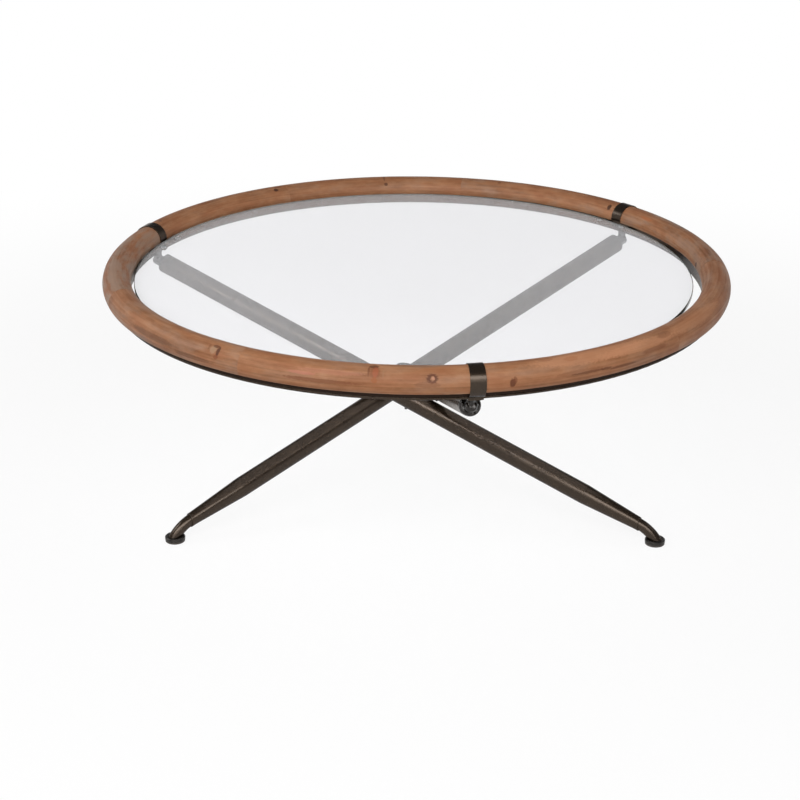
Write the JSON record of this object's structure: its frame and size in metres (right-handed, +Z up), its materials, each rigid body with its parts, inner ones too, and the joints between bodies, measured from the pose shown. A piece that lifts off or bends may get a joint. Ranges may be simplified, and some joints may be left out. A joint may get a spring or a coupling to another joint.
{
  "type": "coffee table",
  "caption": "Round coffee table: a wooden ring strapped to a metal hoop holds a loose glass disc above crossed metal tube legs with levelling feet.",
  "frame": {"origin": "on the floor, under the middle of the wooden ring", "axes": "+Z up; -Y towards the side seen in the picture; +X to its right"},
  "size_m": [1.1, 1.1, 0.4406],
  "materials": {
    "ring_wood": "waxed, knotty softwood, warm brown",
    "bronze_metal": "satin dark bronze, slightly brushed",
    "dark_steel": "blackened steel",
    "clear_glass": "clear, polished edge",
    "clear_pad": "clear soft plastic",
    "glide_plastic": "dark, matt"
  },
  "bodies": {
    "table": {"glass_pads": "clear_pad", "glass_tab_1": "bronze_metal", "glass_tab_2": "bronze_metal", "glass_tab_3": "bronze_metal", "glass_tab_4": "bronze_metal", "glass_tab_5": "bronze_metal", "glass_tab_6": "bronze_metal", "hanger_screws": "dark_steel", "hoop": "bronze_metal", "hub_bolts": "dark_steel", "hub_plate": "bronze_metal", "hub_spacer_1": "bronze_metal", "hub_spacer_2": "bronze_metal", "hub_spacer_3": "bronze_metal", "leg_cap_1": "bronze_metal", "leg_cap_2": "bronze_metal", "leg_cap_3": "bronze_metal", "leg_hanger_1": "bronze_metal", "leg_hanger_2": "bronze_metal", "leg_hanger_3": "bronze_metal", "leg_neck_1": "bronze_metal", "leg_neck_2": "bronze_metal", "leg_neck_3": "bronze_metal", "leg_tube_1": "bronze_metal", "leg_tube_2": "bronze_metal", "leg_tube_3": "bronze_metal", "ring_dowels": "ring_wood", "ring_screws": "dark_steel", "strap_1": "bronze_metal", "strap_2": "bronze_metal", "strap_3": "bronze_metal", "strap_screws": "dark_steel", "wood_segment_1": "ring_wood", "wood_segment_2": "ring_wood", "wood_segment_3": "ring_wood", "wood_segment_4": "ring_wood", "wood_segment_5": "ring_wood", "wood_segment_6": "ring_wood", "wood_segment_7": "ring_wood", "wood_segment_8": "ring_wood", "wood_segment_9": "ring_wood"},
    "glass": {"glass_disc": "clear_glass"},
    "stud_1": {"foot_stud_1": "dark_steel"},
    "foot_1": {"foot_cup_1": "bronze_metal", "foot_glide_1": "glide_plastic"},
    "stud_2": {"foot_stud_2": "dark_steel"},
    "foot_2": {"foot_cup_2": "bronze_metal", "foot_glide_2": "glide_plastic"},
    "stud_3": {"foot_stud_3": "dark_steel"},
    "foot_3": {"foot_cup_3": "bronze_metal", "foot_glide_3": "glide_plastic"}
  },
  "joints": [
    {"name": "glass_lift", "type": "slide", "parent": "table", "child": "glass", "axis": [0, 0, 1], "range_m": [0, 0.05]},
    {"name": "stud_travel_1", "type": "slide", "parent": "table", "child": "stud_1", "axis": [0, 0, 1], "range_m": [-0.005, 0]},
    {"name": "foot_turn_1", "type": "hinge", "parent": "stud_1", "child": "foot_1", "pos_m": [0, 0.4803, 0.004], "axis": [0, 0, 1], "range_deg": [-1800, 0]},
    {"name": "stud_travel_2", "type": "slide", "parent": "table", "child": "stud_2", "axis": [0, 0, 1], "range_m": [-0.005, 0]},
    {"name": "foot_turn_2", "type": "hinge", "parent": "stud_2", "child": "foot_2", "pos_m": [-0.41595, -0.24015, 0.004], "axis": [0, 0, 1], "range_deg": [-1800, 0]},
    {"name": "stud_travel_3", "type": "slide", "parent": "table", "child": "stud_3", "axis": [0, 0, 1], "range_m": [-0.005, 0]},
    {"name": "foot_turn_3", "type": "hinge", "parent": "stud_3", "child": "foot_3", "pos_m": [0.41595, -0.24015, 0.004], "axis": [0, 0, 1], "range_deg": [-1800, 0]}
  ],
  "couplings": [
    {"joint": "stud_travel_1", "follows": "foot_turn_1", "m_per_rad": 0.00015915},
    {"joint": "stud_travel_2", "follows": "foot_turn_2", "m_per_rad": 0.00015915},
    {"joint": "stud_travel_3", "follows": "foot_turn_3", "m_per_rad": 0.00015915}
  ]
}
